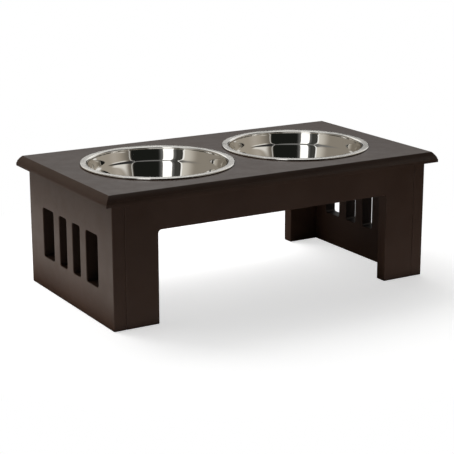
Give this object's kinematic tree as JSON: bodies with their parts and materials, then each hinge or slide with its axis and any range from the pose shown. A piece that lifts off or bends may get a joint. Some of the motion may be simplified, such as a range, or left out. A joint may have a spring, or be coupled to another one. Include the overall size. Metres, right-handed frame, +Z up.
{
  "type": "raised pet feeder",
  "caption": "Raised pet feeder stand of dark painted board with slotted sides, arched front and back, a moulded top and lift-out steel bowls",
  "frame": {"origin": "on the floor, under the middle of the stand", "axes": "+X along the length, to the right seen from the front; the front is -Y; +Z up"},
  "size_m": [0.435, 0.24, 0.154],
  "materials": {
    "painted_board": "MDF with a satin espresso-brown paint",
    "polished_steel": "stainless steel, mirror inside with a satin rim",
    "zinc": "die-cast zinc",
    "beech": "fluted beech, unfinished"
  },
  "bodies": {
    "stand": {"top_board": "painted_board", "left_side_panel": "painted_board", "right_side_panel": "painted_board", "front_panel": "painted_board", "back_panel": "painted_board", "front_left_cam_locks": "zinc", "front_right_cam_locks": "zinc", "back_left_cam_locks": "zinc", "back_right_cam_locks": "zinc", "front_left_cam_bolts": "zinc", "front_right_cam_bolts": "zinc", "back_left_cam_bolts": "zinc", "back_right_cam_bolts": "zinc", "front_left_dowels": "beech", "front_right_dowels": "beech", "back_left_dowels": "beech", "back_right_dowels": "beech", "left_top_cam_locks": "zinc", "right_top_cam_locks": "zinc", "left_top_cam_bolts": "zinc", "right_top_cam_bolts": "zinc", "left_top_dowels": "beech", "right_top_dowels": "beech", "front_top_dowels": "beech", "back_top_dowels": "beech"},
    "left_bowl": {"left_bowl": "polished_steel"},
    "right_bowl": {"right_bowl": "polished_steel"}
  },
  "joints": [
    {"name": "left_bowl_lift", "type": "slide", "parent": "stand", "child": "left_bowl", "axis": [0, 0, 1], "range_m": [0, 0.06]},
    {"name": "right_bowl_lift", "type": "slide", "parent": "stand", "child": "right_bowl", "axis": [0, 0, 1], "range_m": [0, 0.06]}
  ]
}
